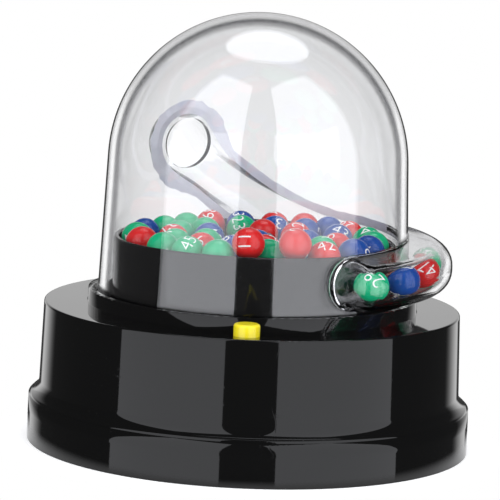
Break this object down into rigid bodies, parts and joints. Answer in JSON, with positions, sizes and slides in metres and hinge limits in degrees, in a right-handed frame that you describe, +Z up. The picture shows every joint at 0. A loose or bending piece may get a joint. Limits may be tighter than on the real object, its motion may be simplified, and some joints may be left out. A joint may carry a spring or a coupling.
{
  "type": "number drawing machine",
  "caption": "Small electric number-drawing machine: round black base with push-button, ball cup with turning table, clear dome and a clear covered chute winding down its outside.",
  "frame": {"origin": "centre of the foot ring's underside, on the surface the machine stands on", "axes": "+Z up along the dome's axis, -Y to the front where the push-button is, +X to the right, towards the chute's closed end"},
  "size_m": [0.13, 0.13, 0.1264],
  "materials": {
    "black_gloss": "polished black ABS",
    "cup_black": "polished black ABS",
    "clear": "clear polystyrene",
    "ball_red": "glossy red",
    "ball_green": "glossy green",
    "ball_blue": "glossy blue",
    "button_yellow": "satin yellow",
    "inner_black": "matt black ABS",
    "inner_white": "matt white nylon",
    "zinc": "zinc plated steel",
    "nickel": "nickel plated spring steel",
    "cell_jacket": "plain printed sleeve",
    "board_green": "glass-fibre board with green mask"
  },
  "bodies": {
    "base": {"base_shell": "black_gloss", "bottom_tray": "black_gloss", "battery_cells": "cell_jacket", "contact_plates": "nickel", "contact_leaves": "nickel", "tray_screws": "zinc", "ball_cup": "cup_black", "cup_screws": "zinc", "motor_can": "zinc", "motor_endcap": "inner_white", "motor_clamp": "zinc", "clamp_screws": "zinc", "switch_body": "inner_black", "switch_board": "board_green", "board_screws": "zinc"},
    "door": {"battery_door": "inner_black", "door_screws": "zinc"},
    "rotor": {"motor_shaft": "zinc", "turning_table": "inner_black", "balls_red": "ball_red", "balls_green": "ball_green", "balls_blue": "ball_blue"},
    "dome_unit": {"dome": "clear", "chute_cover": "clear", "drawn_balls_green": "ball_green", "drawn_balls_blue": "ball_blue", "drawn_balls_red": "ball_red"},
    "button": {"button_cap": "button_yellow", "switch_plunger": "inner_white"}
  },
  "joints": [
    {"name": "table_spin", "type": "hinge", "parent": "base", "child": "rotor", "pos_m": [0, 0, 0.055], "axis": [0, 0, 1], "continuous": true},
    {"name": "button_press", "type": "slide", "parent": "base", "child": "button", "axis": [0, 0, -1], "range_m": [0, 0.0015], "stiffness_N_per_m": 600, "springref_m": -0.0004},
    {"name": "dome_lift", "type": "slide", "parent": "base", "child": "dome_unit", "axis": [0, 0, 1], "range_m": [0, 0.09]},
    {"name": "door_off", "type": "slide", "parent": "base", "child": "door", "axis": [0, 0, -1], "range_m": [0, 0.03]}
  ]
}
